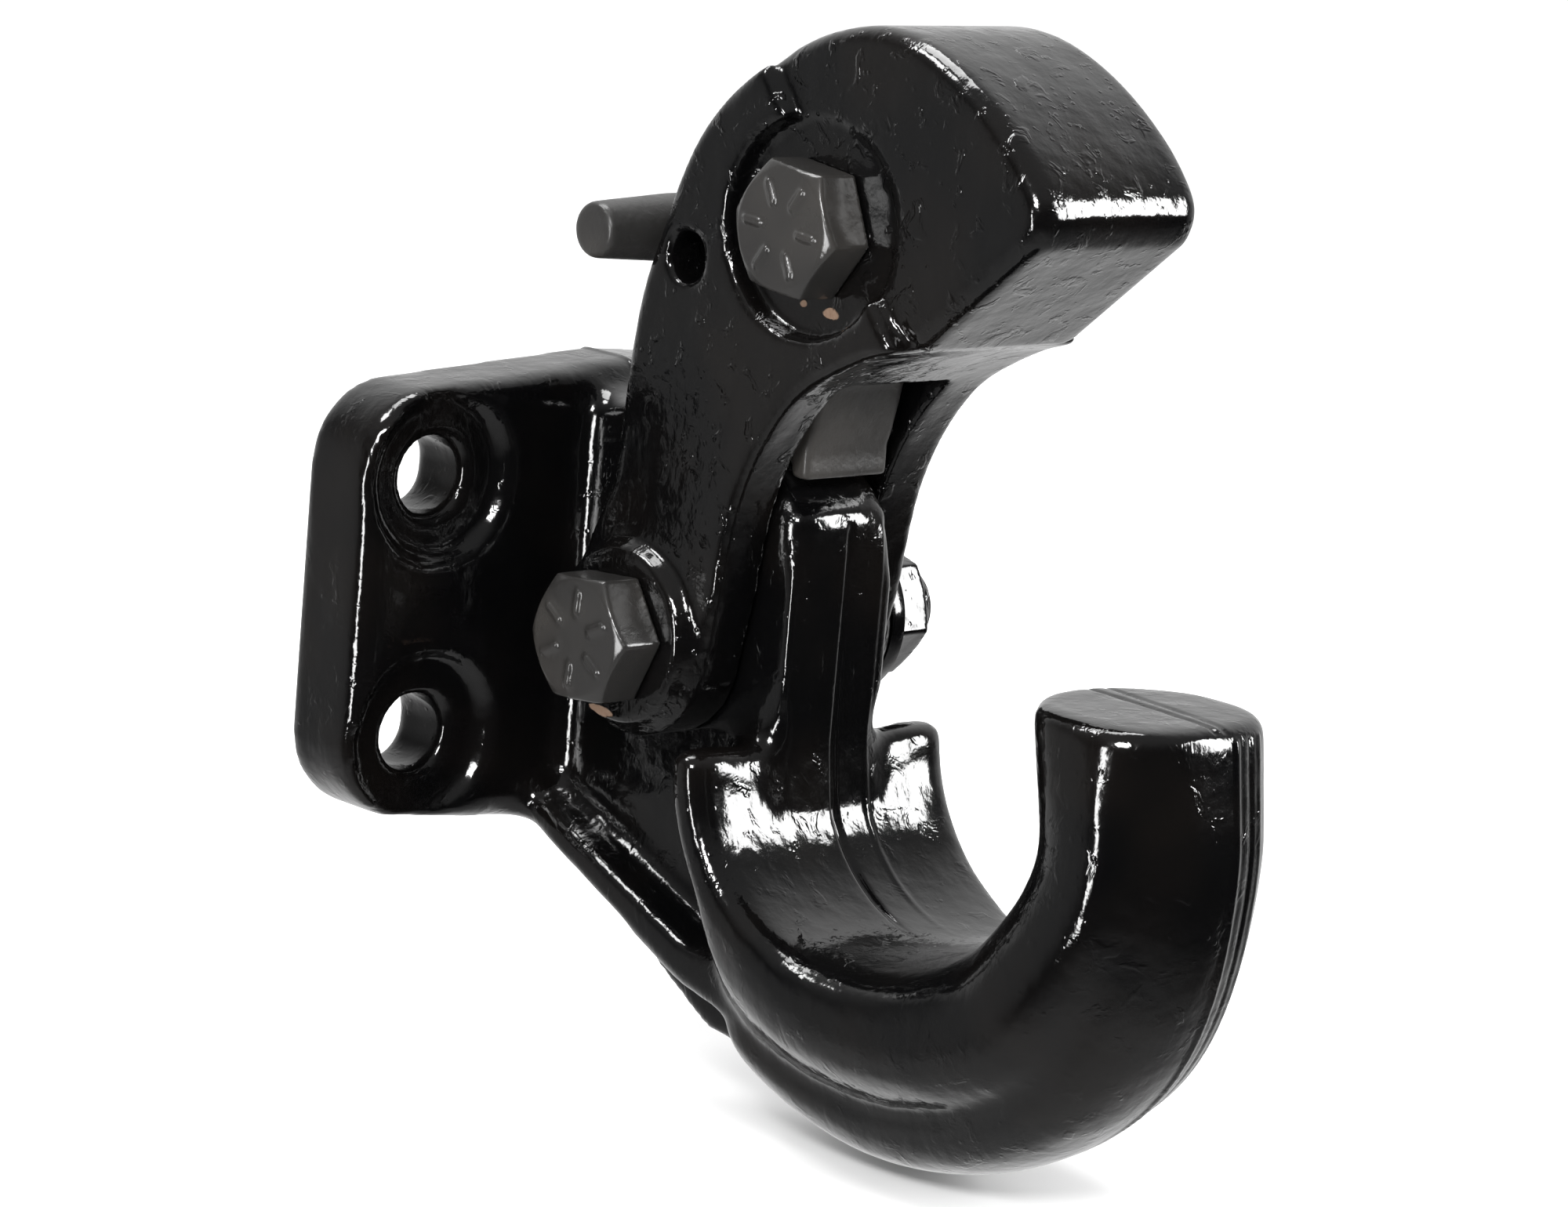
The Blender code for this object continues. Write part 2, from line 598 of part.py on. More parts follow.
def main():
    clear_scene()
    black = (0.012, 0.012, 0.013)
    build_hook_body(material("body_enamel", black, 0.0, 0.18))
    build_latch(material("latch_enamel", black, 0.0, 0.22))
    build_lock_lever(material("lever_enamel", black, 0.0, 0.25))
    build_lock_spring(material("spring_steel", (0.32, 0.32, 0.33), 1.0, 0.35))
    boss_half = CHEEK_HALF + BOSS_PROUD
    pivot_nut_seat = boss_half + GAP + WASHER_T
    pivot_nut_end = pivot_nut_seat + GAP + NUT_H
    lock_nut_end = LOCK_SEAT_HALF + GAP + NUT_H
    build_bolt("latch_pivot_bolt", PIVOT_Y, PIVOT_Z, boss_half, pivot_nut_end, 0,
               material("pivot_bolt_enamel", black, 0.0, 0.2))
    build_washer("latch_pivot_washer", PIVOT_Y, PIVOT_Z, boss_half,
                 material("washer_enamel", black, 0.0, 0.3))
    build_nut("latch_pivot_nut", PIVOT_Y, PIVOT_Z, pivot_nut_seat, 10,
              material("pivot_nut_enamel", black, 0.0, 0.2))
    build_bolt("lock_pivot_bolt", LOCK_Y, LOCK_Z, LOCK_SEAT_HALF, lock_nut_end, 20,
               material("lock_bolt_enamel", black, 0.0, 0.2))
    build_nut("lock_pivot_nut", LOCK_Y, LOCK_Z, LOCK_SEAT_HALF, 35,
              material("lock_nut_enamel", black, 0.0, 0.2))


main()
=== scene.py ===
# %% [markdown]
# # A pintle hook in black enamel
#
# A pintle hook bolts to the back of a truck and catches the ring of a trailer. Its body is one
# steel casting: a plate with four holes, a tower that carries the latch, and the upturned horn.
# The CAD model already gives every piece its true size and place, and says how it moves. This
# lesson makes the pieces look the way a painted casting does: soft corners, filled creases,
# parting lines, a skin of thick gloss enamel, and a few places where it has come away.

# %% Load the frame
import json
import math

import bmesh
import bpy
from mathutils import Matrix, Vector


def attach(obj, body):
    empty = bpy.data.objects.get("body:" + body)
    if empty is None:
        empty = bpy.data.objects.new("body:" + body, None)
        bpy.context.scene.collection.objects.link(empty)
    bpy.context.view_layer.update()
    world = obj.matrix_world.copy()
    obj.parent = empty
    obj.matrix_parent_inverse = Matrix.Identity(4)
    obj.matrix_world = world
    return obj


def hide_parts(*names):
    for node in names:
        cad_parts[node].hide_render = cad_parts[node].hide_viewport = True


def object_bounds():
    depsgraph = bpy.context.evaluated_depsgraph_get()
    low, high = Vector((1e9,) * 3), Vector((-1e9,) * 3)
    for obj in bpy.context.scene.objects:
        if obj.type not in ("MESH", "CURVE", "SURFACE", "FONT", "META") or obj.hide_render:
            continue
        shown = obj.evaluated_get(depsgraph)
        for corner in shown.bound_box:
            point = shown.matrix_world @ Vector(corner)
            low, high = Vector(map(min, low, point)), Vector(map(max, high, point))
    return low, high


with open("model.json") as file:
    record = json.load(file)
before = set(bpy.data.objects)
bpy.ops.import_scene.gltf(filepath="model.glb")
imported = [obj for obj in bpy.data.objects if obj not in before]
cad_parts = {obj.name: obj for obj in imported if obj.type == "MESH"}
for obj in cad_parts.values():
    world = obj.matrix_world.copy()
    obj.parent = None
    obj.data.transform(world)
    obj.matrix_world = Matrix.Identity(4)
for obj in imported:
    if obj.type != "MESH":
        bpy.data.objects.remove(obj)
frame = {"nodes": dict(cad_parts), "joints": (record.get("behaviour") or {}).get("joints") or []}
cad_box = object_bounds()
print("nodes:", ", ".join(sorted(frame["nodes"])))
print("CAD box in mm:", [round(c * 1000, 1) for corner in cad_box for c in corner])

# %% [markdown]
# ## Millimetres, and the two axes
#
# Blender counts in metres, and a drawing of a casting counts in millimetres. The numbers below
# are millimetres, and meet this one factor on their way into a mesh. The axes of the latch and
# of its lock lever are read from the frame's joints, so each new piece turns where the CAD
# piece does.

# %% Units and axes
MM = 0.001


def joint_axis(name):
    """The (y, z) in millimetres of a joint that turns about a line along X."""
    joint = next(j for j in frame["joints"] if j["name"] == name)
    return joint["pos_m"][1] / MM, joint["pos_m"][2] / MM


PIVOT = joint_axis("latch_pivot")
LOCK = joint_axis("lock_pivot")
print("latch axis", PIVOT, "lock axis", LOCK)

# %% [markdown]
# ## Three ways to start a shape
#
# Most of a casting is flat outlines with depth, so the first helper lays one face through the
# corners of an outline, rounds the corners with a vertex bevel, and extrudes the face. The
# second spins a profile once round a line along X, which makes bosses, bars and washers. Curved
# edges pass through a few drawn points, and a small spline fills in between them: typing forty
# points by hand would leave flats that show as kinks in a glossy skin.

# %% Outlines and extrusions
def flowing(points, cuts=5):
    """A smooth line through every point, as a list that is cuts times as fine."""
    ends = [points[0]] + list(points) + [points[-1]]
    line = []
    for a, b, c, d in zip(ends, ends[1:], ends[2:], ends[3:]):
        a, b, c, d = Vector(a), Vector(b), Vector(c), Vector(d)
        for cut in range(cuts):
            t = cut / cuts
            line.append(tuple(0.5 * (2 * b + (c - a) * t + (2 * a - 5 * b + 4 * c - d) * t * t
                                     + (3 * b - a - 3 * c + d) * t ** 3)))
    return line + [tuple(points[-1])]


def round_arc(centre, radius, start, end, steps):
    """Points along a circle from one angle to another, in degrees."""
    turn = [math.radians(start + (end - start) * k / steps) for k in range(steps + 1)]
    return [(centre[0] + radius * math.cos(a), centre[1] + radius * math.sin(a)) for a in turn]


def standing(axis, along, a, b):
    """A point from its place along an axis and its two outline numbers."""
    return Vector((along, a, b) if axis == "X" else (a, along, b)) * MM


def slab(outline, axis, low, high, corner_steps=7):
    """An outline of (a, b) or (a, b, radius) corners, extruded along X or Y."""
    bm = bmesh.new()
    corners = [bm.verts.new(standing(axis, low, p[0], p[1])) for p in outline]
    bm.faces.new(corners)
    for i, (vert, p) in enumerate(zip(corners, outline)):
        if len(p) < 3:
            continue
        back = Vector(outline[i - 1][:2]) - Vector(p[:2])
        ahead = Vector(outline[(i + 1) % len(outline)][:2]) - Vector(p[:2])
        reach = p[2] / math.tan(back.angle(ahead) / 2)
        bmesh.ops.bevel(bm, geom=[vert], offset=reach * MM, offset_type="OFFSET",
                        segments=corner_steps, profile=0.5, affect="VERTICES", material=-1)
    grown = bmesh.ops.extrude_face_region(bm, geom=bm.faces[:])["geom"]
    far = [g for g in grown if isinstance(g, bmesh.types.BMVert)]
    bmesh.ops.translate(bm, verts=far, vec=standing(axis, high - low, 0, 0))
    bmesh.ops.recalc_face_normals(bm, faces=bm.faces)
    return bm


def soften_rims(bm, width, segments=4, sharper=50, where=lambda middle: True):
    """Rounds every edge that turns more than an angle, or those of them in one place."""
    limit = math.radians(sharper)
    rims = [e for e in bm.edges if e.calc_face_angle(0) > limit
            and where((e.verts[0].co + e.verts[1].co) / 2 / MM)]
    bmesh.ops.bevel(bm, geom=rims, offset=width * MM, offset_type="OFFSET", profile=0.5,
                    segments=segments, affect="EDGES", clamp_overlap=True, material=-1)
    return bm


# %% Turned shapes and objects
def turned(profile, centre, steps=64):
    """A profile of (x, radius) points, spun once round the X line through (y, z)."""
    bm = bmesh.new()
    y, z = centre
    line = [bm.verts.new(Vector((x, y, z + r)) * MM) for x, r in profile]
    edges = [bm.edges.new(pair) for pair in zip(line, line[1:])]
    bmesh.ops.spin(bm, geom=line + edges, cent=Vector((0, y, z)) * MM, axis=(1, 0, 0),
                   angle=2 * math.pi, steps=steps, use_merge=True)
    bmesh.ops.remove_doubles(bm, verts=bm.verts, dist=1e-6)
    bmesh.ops.recalc_face_normals(bm, faces=bm.faces)
    return bm


def rod(centre, radius, low, high, steps=64):
    """A plain round, for cutting bores and seats."""
    return turned([(low, 0), (low, radius), (high, radius), (high, 0)], centre, steps)


def rod_y(centre, radius, front, back, steps=64):
    """The same round lying along Y, for the holes in the plate."""
    bm = rod((0, 0), radius, front, back, steps)
    bmesh.ops.rotate(bm, verts=bm.verts, matrix=Matrix.Rotation(math.pi / 2, 3, "Z"))
    bmesh.ops.translate(bm, verts=bm.verts, vec=Vector((centre[0], 0, centre[1])) * MM)
    return bm


def shape(name, bm):
    """An object at the origin that holds the mesh."""
    mesh = bpy.data.meshes.new(name)
    bm.to_mesh(mesh)
    bm.free()
    made = bpy.data.objects.new(name, mesh)
    bpy.context.scene.collection.objects.link(made)
    return made


print("helpers ready")

# %% [markdown]
# ## From sharp blocks to a poured casting
#
# In a foundry, molten steel fills a mould, and no inside corner comes out sharp: the metal
# leaves a fillet. Boolean unions give the blocks the right outline but knife-sharp creases.
# A voxel remesh then wraps them in one even skin, and smoothing only the creases pulls that
# skin across them, which is just what a fillet is. Convex edges keep the radius that their
# bevel gave them. Beveling the creases themselves fails where five faces meet, so the remesh
# is the safer way here.

# %% Joining, cutting and casting
def settle(obj):
    """Replaces the mesh by what its modifiers make of it."""
    graph = bpy.context.evaluated_depsgraph_get()
    finished = bpy.data.meshes.new_from_object(obj.evaluated_get(graph))
    obj.modifiers.clear()
    obj.data = finished
    return obj


def merge(obj, others, operation):
    """Boolean of the object with each other mesh in turn."""
    for other in others:
        tool = shape("tool", other) if isinstance(other, bmesh.types.BMesh) else other
        joiner = obj.modifiers.new(operation, "BOOLEAN")
        joiner.operation = operation
        joiner.solver = "EXACT"
        joiner.object = tool
        bpy.context.view_layer.update()
        settle(obj)
        bpy.data.objects.remove(tool, do_unlink=True)
    return obj


def ring_out(verts, rings):
    """The vertices and their neighbours, a number of rings further out."""
    found = set(verts)
    edge = found
    for _ in range(rings):
        edge = {e.other_vert(v) for v in edge for e in v.link_edges} - found
        found |= edge
    return found


def smooth(bm, verts, times):
    for _ in range(times):
        bmesh.ops.smooth_vert(bm, verts=verts, factor=0.5, use_axis_x=True, use_axis_y=True,
                              use_axis_z=True)


CREASE_ANGLE = -13


def cast(obj, voxel, fillets, evening):
    """One even skin over the whole solid, with its creases filled.

    Each fillet is (times, rings, where): how often each ring of it is smoothed, how many
    rings it spreads, and which places it covers. Wide rings go first and narrow ones last,
    so a fillet fades out instead of ending in a line.
    """
    skin = obj.modifiers.new("skin", "REMESH")
    skin.mode = "VOXEL"
    skin.voxel_size = voxel * MM
    bpy.context.view_layer.update()
    settle(obj)
    bm = bmesh.new()
    bm.from_mesh(obj.data)
    smooth(bm, bm.verts[:], 3)
    creases = set()
    for e in bm.edges:
        if e.is_manifold and e.calc_face_angle_signed() < math.radians(CREASE_ANGLE):
            creases.update(e.verts)
    for times, rings, where in fillets:
        chosen = [v for v in creases if where(v.co / MM)]
        for reach in range(rings, 0, -2):
            smooth(bm, list(ring_out(chosen, reach)), times)
    smooth(bm, bm.verts[:], evening)
    for f in bm.faces:
        f.smooth = True
    bm.to_mesh(obj.data)
    bm.free()
    print(obj.name, "skin:", len(obj.data.polygons), "faces")
    return obj


# %% [markdown]
# ## The mounting plate
#
# The plate carries the whole pull of the trailer, so it is 17 mm thick. Its top and bottom
# edges rise to a low ridge in the middle, where the two halves of the mould met and had to let
# the casting go. It is one extruded outline, with a generous round on the front rim and a small
# one at the back, where it was ground flat.

# %% Plate
PLATE_THICK = 17
plate_outline = [(0, 40.5, 5), (59, 36.5, 14), (59, -35.2, 14),
                 (0, -41.5, 8), (-59, -35.2, 14), (-59, 36.5, 14)]
plate = slab(plate_outline, "Y", -PLATE_THICK, 0, corner_steps=10)
soften_rims(plate, 4, 6, where=lambda m: m.y < -PLATE_THICK + 0.1)
soften_rims(plate, 0.8, 2, where=lambda m: m.y > -0.1)
hook = shape("hook_casting", plate)
print("plate corners:", len(plate_outline))

# %% [markdown]
# ## The tower and the flange under it
#
# The tower is a web between the latch's two cheeks, and its top is struck from the latch pivot
# so the lock lever's toe can slide over it. Its two front edges are rounded wide. The flange
# runs from the foot of the plate down to the horn and leaves a pocket on each side.

# %% Tower and flange
MOUTH = (-98, -15)
MOUTH_R = 28.6
WEB_HALF = 11.7
tower_outline = [(-8, 35.7)] + round_arc(PIVOT, 36, 90, 139, 14) + [
    (-70.5, 17), (-70.5, -16), (-74, -40), (-68, -68), (-58, -66.5), (-40, -56),
    (-20, -45), (-8, -41)]
tower = slab(tower_outline, "X", -WEB_HALF, WEB_HALF)
soften_rims(tower, 4.6, 6, where=lambda m: m.y < -60 and m.z > -40)
soften_rims(tower, 3, 4, sharper=60, where=lambda m: m.y > -66)

flange_outline = [(-6, -36.5), (-6, -31), (-16, -31.5, 5), (-30, -37.5, 6), (-60, -50, 4),
                  (-76, -50), (-76, -62, 4), (-58, -58, 10), (-35, -47.6, 10), (-18, -40, 12)]
flange = slab(flange_outline, "X", -20, 20)
soften_rims(flange, 2.5, 4, sharper=60)

# %% [markdown]
# ## The horn
#
# The horn changes all the way round the mouth: a thin wide saddle with ears at the back, a deep
# keel underneath, and a plump D-shaped tip. Half sections stand at eight stations round the
# mouth, each a list of (across, depth below the mouth surface). Each ring is a loop of
# vertices, bridging joins it to the next one, and a subdivision surface takes out the last
# trace of facets. One spun section could not change shape on the way.

# %% Horn sections
TIP_TOP = 6
EARS, TIP_TURN = 0, 200
sections = [
    (EARS, [(0, 0), (13, 0), (26, 0), (29.6, 2), (30, 4.4), (28.5, 6.8), (24, 7.4),
            (18, 7.4), (12, 7.4), (6, 7.4), (0, 7.4)]),
    (38, [(0, 0), (13, 0), (26, 0), (29.6, 2), (30, 4.4), (28.5, 6.8), (24, 7.4),
          (18, 7.4), (12, 7.4), (6, 7.4), (0, 7.4)]),
    (58, [(0, 0), (13, 0), (25.5, 0), (29.3, 2.4), (29.2, 6.4), (27, 13), (22.4, 18.6),
          (19.1, 22.7), (18.2, 28), (11, 33.6), (0, 35.9)]),
    (92, [(0, 0), (12, 0), (23, 0.6), (27.6, 3.9), (28.4, 9.4), (26.2, 15.5), (20.6, 20.4),
          (16.6, 23.2), (16.1, 28.2), (11, 34.2), (0, 36.9)]),
    (115, [(0, 0.2), (10.6, 0.7), (20.4, 2.6), (25.6, 6.2), (26.8, 12.2), (25.4, 18),
           (20, 22.6), (16.2, 24.8), (15.6, 29), (10.4, 34.4), (0, 36.7)]),
    (138, [(0, 0.6), (9, 1.6), (17.2, 4.6), (22.6, 9.4), (24.2, 15.4), (23.6, 20.6),
           (20.2, 25.2), (16.8, 27.8), (14.4, 31.6), (8.6, 35.1), (0, 36.3)]),
    (180, [(0, 2), (8, 2.8), (14.4, 6.4), (18.9, 11.4), (20.2, 16.9), (20.2, 20.4),
           (19.2, 23.6), (15.4, 27.2), (11, 30.2), (6, 31.5), (0, 31.8)]),
    (TIP_TURN, [(0, -4), (7.4, -2.8), (13.6, 1.2), (18, 6.4), (19, 12.2), (18.9, 16.4),
           (17.8, 20.6), (15.4, 24.2), (11.8, 26.9), (6.6, 28.3), (0, 28.6)])]


def section_at(turn):
    """The half section at a turning angle, blended between its two stations."""
    for (a, near), (b, far) in zip(sections, sections[1:]):
        if turn <= b:
            t = (turn - a) / (b - a)
            if b - a > 30:
                t = t * t * (3 - 2 * t)
            return [tuple(Vector(n).lerp(Vector(f), t)) for n, f in zip(near, far)]
    return sections[-1][1]


def horn_ring(bm, turn):
    """One closed loop of edges standing round the mouth, or rising straight at the tip."""
    half = section_at(turn)
    whole = half + [(-x, d) for x, d in reversed(half[1:-1])]
    loop = flowing(whole[-2:] + whole + whole[:3], 3)[6:6 + 3 * len(whole)]
    angle = math.radians(min(turn, 180))
    rise = max(turn - 180, 0) / (TIP_TURN - 180) * (TIP_TOP - MOUTH[1])
    verts = [bm.verts.new(Vector((x, MOUTH[0] + (MOUTH_R + d) * math.cos(angle),
                                  MOUTH[1] - (MOUTH_R + d) * math.sin(angle) + rise)) * MM)
             for x, d in loop]
    return [bm.edges.new((v, verts[(i + 1) % len(verts)])) for i, v in enumerate(verts)]


# %% Horn
horn = bmesh.new()
turns = list(range(EARS, 180, 6)) + [180 + 4 * k for k in range(6)]
rings = [horn_ring(horn, turn) for turn in turns]
for near, far in zip(rings, rings[1:]):
    bmesh.ops.bridge_loops(horn, edges=near + far)
for end in (rings[0], rings[-1]):
    bmesh.ops.contextual_create(horn, geom=end)
bmesh.ops.recalc_face_normals(horn, faces=horn.faces)
soften_rims(horn, 2.4, 4, sharper=55)
horn_solid = shape("horn", horn)
finer = horn_solid.modifiers.new("finer", "SUBSURF")
finer.levels = finer.render_levels = 1
bpy.context.view_layer.update()
settle(horn_solid)
print("horn rings:", len(rings), "faces:", len(horn_solid.data.polygons))

# %% [markdown]
# ## Pouring the hook body
#
# Now the blocks become one. The bolt holes are bored and spotfaced before the skin goes on, so
# their rims get the soft edge that thick paint gives them. The foot of the tower and the
# saddle's corners take the widest fillets, and the spotfaces keep tight ones.

# %% Hook body
BOLT_PITCH = (85.725, 44.45)
holes = [(sx * BOLT_PITCH[0] / 2, sz * BOLT_PITCH[1] / 2) for sx in (-1, 1) for sz in (-1, 1)]


def near_hole(p):
    return p.y < -10 and any(math.hypot(p.x - x, p.z - z) < 17 for x, z in holes)


def at_foot(p):
    """Where plate, tower, flange and saddle meet, but not along the crease of the keel."""
    below = math.hypot(p.y - MOUTH[0], p.z - MOUTH[1]) > 42 and p.z < -52
    return not near_hole(p) and not below and p.y > -82


merge(hook, [tower, flange, horn_solid], "UNION")
merge(hook, [rod(PIVOT, 7.45, -30, 30)], "DIFFERENCE")
merge(hook, [rod_y(c, 6.75, -30, 10) for c in holes], "DIFFERENCE")
merge(hook, [rod_y(c, 14.3, -30, -14) for c in holes], "DIFFERENCE")
cast(hook, 0.95, [(12, 9, at_foot), (2, 3, near_hole)], 3)

# %% [markdown]
# ## Parting lines
#
# The mould opens down the middle of the hook, and a thin line of metal creeps into the joint.
# After grinding, a groove and a faint ridge are left on the tower and in the mouth, on the tip,
# and down the back of the horn. The skin's faces are too big for such a thin line, so only the
# faces beside it are subdivided before the vertices are pushed in or out. A line cut in the
# mesh catches the light from every side, which a bump in the paint doesn't do as well.

# %% Scoring a line
def score(obj, across, reach, depth, where, width=0.55):
    """A groove (or a ridge, if the depth is negative) along x = across(point)."""
    bm = bmesh.new()
    bm.from_mesh(obj.data)
    strip = set()
    for f in bm.faces:
        p = f.calc_center_median() / MM
        if where(p) > 0 and abs(p.x - across(p)) < reach:
            strip.update(f.edges)
    bmesh.ops.subdivide_edges(bm, edges=list(strip), cuts=1, use_grid_fill=True)
    bm.normal_update()
    moves = []
    for v in bm.verts:
        p = v.co / MM
        off = p.x - across(p)
        if abs(off) < reach and where(p) > 0:
            share = where(p) * math.exp(-(off / width) ** 2)
            moves.append((v, v.normal * share * depth * MM))
    for v, move in moves:
        v.co -= move
    for f in bm.faces:
        f.smooth = True
    bm.to_mesh(obj.data)
    bm.free()


def fade(value, low, high):
    """0 below low, 1 above high, and a ramp between them."""
    return max(0.0, min(1.0, (value - low) / (high - low)))


def round_mouth(p):
    """(distance from the mouth's centre, degrees turned from its back towards its floor)."""
    y, z = p.y - MOUTH[0], MOUTH[1] - p.z
    turn = math.degrees(math.atan2(z, y))
    return math.hypot(y, z), turn + 360 if turn < -90 else turn


def tower_and_mouth(p):
    radius, turn = round_mouth(p)
    if p.z > MOUTH[1]:
        return fade(23 - p.z, 0, 3) if -73 < p.y < -66 else 0
    return fade(85 - turn, 0, 25) if radius < 31 and turn > -5 else 0


def horn_back(p):
    radius, turn = round_mouth(p)
    return fade(turn, 118, 135) if p.y < MOUTH[0] and radius > 50 and p.z < 4 else 0


# %% Parting lines of the hook
def straight(x):
    """A line that keeps its place across the hook."""
    return lambda p: x


TIP_FRONT, TIP_DEPTH = -155, 32


def over_tip(front, back):
    """A line over the tip's flat top that slants from one place across to another."""
    return lambda p: front + (back - front) * (p.y - TIP_FRONT) / TIP_DEPTH


def tip_flat(p):
    return 1.0 if p.z > 5.2 and p.y < -110 else 0.0


def plate_top(p):
    return 1.0 if p.z > 38 and p.y > -17 else 0.0


score(hook, straight(0.9), 2.2, 0.6, tower_and_mouth)
score(hook, straight(8.4), 1.8, -0.22, tower_and_mouth, width=0.5)
score(hook, over_tip(0.0, 2.3), 1.5, 0.42, tip_flat, width=0.45)
score(hook, over_tip(2.0, 5.9), 1.5, 0.3, tip_flat, width=0.45)
score(hook, straight(4.0), 1.8, -0.4, horn_back, width=0.6)
score(hook, straight(7.8), 1.6, 0.35, horn_back, width=0.6)
score(hook, straight(10.6), 1.6, -0.25, horn_back, width=0.6)
score(hook, straight(0.0), 1.8, -0.3, plate_top)
print("hook faces after scoring:", len(hook.data.polygons))

# %% [markdown]
# ## The latch
#
# The latch is a second casting: a heavy nose that closes over the ring, and two cheeks that
# straddle the tower. The rear edge and the mouth edge of the cheeks are free curves, drawn
# through a few points. The nose is a little narrower than the cheeks, which leaves a step down
# the side, and a round seat for the lock bolt is milled across that step.

# %% Latch
CHEEK_HALF, NOSE_HALF, SLOT_HALF = 22.3, 19, 12
rear_edge = [(-35.5, 25), (-36.3, 38), (-37.4, 50), (-39.1, 59), (-42.1, 67.5), (-45.5, 77),
             (-50, 85.5), (-56.2, 92.5), (-63.4, 98)]
mouth_edge = [(-92.2, 54.4), (-85.4, 51), (-78.4, 46.6), (-73.2, 41), (-68.8, 34), (-65.6, 26),
              (-63.9, 18), (-62.7, 9)]
nose_top = [(-66, 101.2), (-72.5, 104.2), (-82, 106.5), (-91, 106.2), (-100, 103.4),
            (-109, 98.6), (-117.5, 92), (-123.2, 85.4), (-124.6, 81), (-123.2, 76.6)]
slot_outline = [(-78.6, 47), (-84, 56, 6), (-91.2, 66, 8), (-91.2, 88.6, 8), (-66, 89.4, 4),
                (-56, 110), (-20, 110), (-20, -30), (-78.6, -30)]
cheeks = slab(round_arc(PIVOT, 17.6, 200, 375, 30) + flowing(rear_edge, 4) + [(-98.4, 56.4)]
              + flowing(mouth_edge, 4), "X", -CHEEK_HALF, CHEEK_HALF)
soften_rims(cheeks, 1.5, 3, sharper=60, where=lambda m: abs(m.x) > CHEEK_HALF - 0.1)
nose = slab([(-60, 80), (-60, 97)] + flowing(nose_top, 4)
            + [(-100.2, 56.6), (-97.4, 58.2), (-74, 62)], "X", -NOSE_HALF, NOSE_HALF)
soften_rims(nose, 4, 6, sharper=60, where=lambda m: abs(m.x) > NOSE_HALF - 0.1)

BOSS_FACE, BOSS_R = 25.5, 15.5
boss = turned([(-BOSS_FACE, 0), (-BOSS_FACE, BOSS_R - 0.8), (-BOSS_FACE + 0.8, BOSS_R),
               (BOSS_FACE - 0.8, BOSS_R), (BOSS_FACE, BOSS_R - 0.8), (BOSS_FACE, 0)], PIVOT)
latch = shape("latch_casting", cheeks)
merge(latch, [nose, boss], "UNION")
merge(latch, [slab(slot_outline, "X", -SLOT_HALF, SLOT_HALF)], "DIFFERENCE")
PIN = (-48.9, 64.3)
merge(latch, [rod(LOCK, 18, -40, -18), rod(LOCK, 18, 18, 40), rod(PIVOT, 7.45, -40, 40),
              rod(LOCK, 7.45, -40, 40), rod(PIN, 4.1, -40, 40)], "DIFFERENCE")


def round_boss(p):
    return abs(p.x) > 20 and math.hypot(p.y - PIVOT[0], p.z - PIVOT[1]) < 22


cast(latch, 0.72, [(8, 4, round_boss), (3, 2, lambda p: not round_boss(p))], 2)

# %% [markdown]
# ## The lock lever
#
# Between the cheeks hangs the lock lever. Its toe stands over the tower and props the latch,
# and a round bar sticks out at the back for a thumb. The toe's face is ground flat and ends in
# a narrow land, so it is drawn with a small facet of its own.

# %% Lock lever
LEVER_HALF = 9.5
shank_outline = [(-68.8, 29.6), (-68.7, 33.8), (-71.2, 45), (-76, 55.5), (-84.2, 63.8), LOCK,
                 (-64.6, 66.2), (-60.5, 56), (-59.6, 44), (-65.3, 29.6)]
arm_outline = [(LOCK[0], 84.7), (-58, 82, 8), (-41, 76, 8), (-27.6, 70.3, 4.5),
               (-27.6, 61.8, 4.5), (-38, 60.4, 3), (-42.5, 69.4, 4), (-66, 70), (LOCK[0], 69.1)]
shank = slab(shank_outline, "X", -LEVER_HALF, LEVER_HALF)
soften_rims(shank, 0.5, 2, sharper=60)
arm = slab(arm_outline, "X", -LEVER_HALF, LEVER_HALF)
soften_rims(arm, 1.2, 3, sharper=60)
BAR, BAR_END = (-33, 66.6), -28.8
bar = turned([(BAR_END, 0), (BAR_END, 4), (BAR_END + 0.3, 4.5), (BAR_END + 0.9, 4.8),
              (-11.5, 5.8), (0, 5.8), (0, 0)], BAR, steps=48)
lever = shape("lock_lever_casting", shank)
merge(lever, [arm, rod(LOCK, 12.5, -LEVER_HALF - 0.01, LEVER_HALF - 0.01), bar], "UNION")
merge(lever, [rod(LOCK, 13.6, 2.1, 20), rod(LOCK, 7.45, -40, 40)], "DIFFERENCE")
cast(lever, 0.5, [(5, 3, lambda p: True)], 1)

# %% [markdown]
# ## Bolts and nuts
#
# A bolt head starts as a six-sided cone of equal radii, which is a prism. Where a turned shape
# with a 30 degree slope meets it, the corners are chamfered, as on a real forged head. Six thin
# bars stand on its face, the general mark of a strong bolt grade. The head gets its own fine
# skin, because the paint rounds its corners and fills the marks' feet, and the shank keeps its
# machined edges and its thread.

# %% Hexagons
FLATS, BOLT_R, GAP = 20.6, 7.15, 0.3


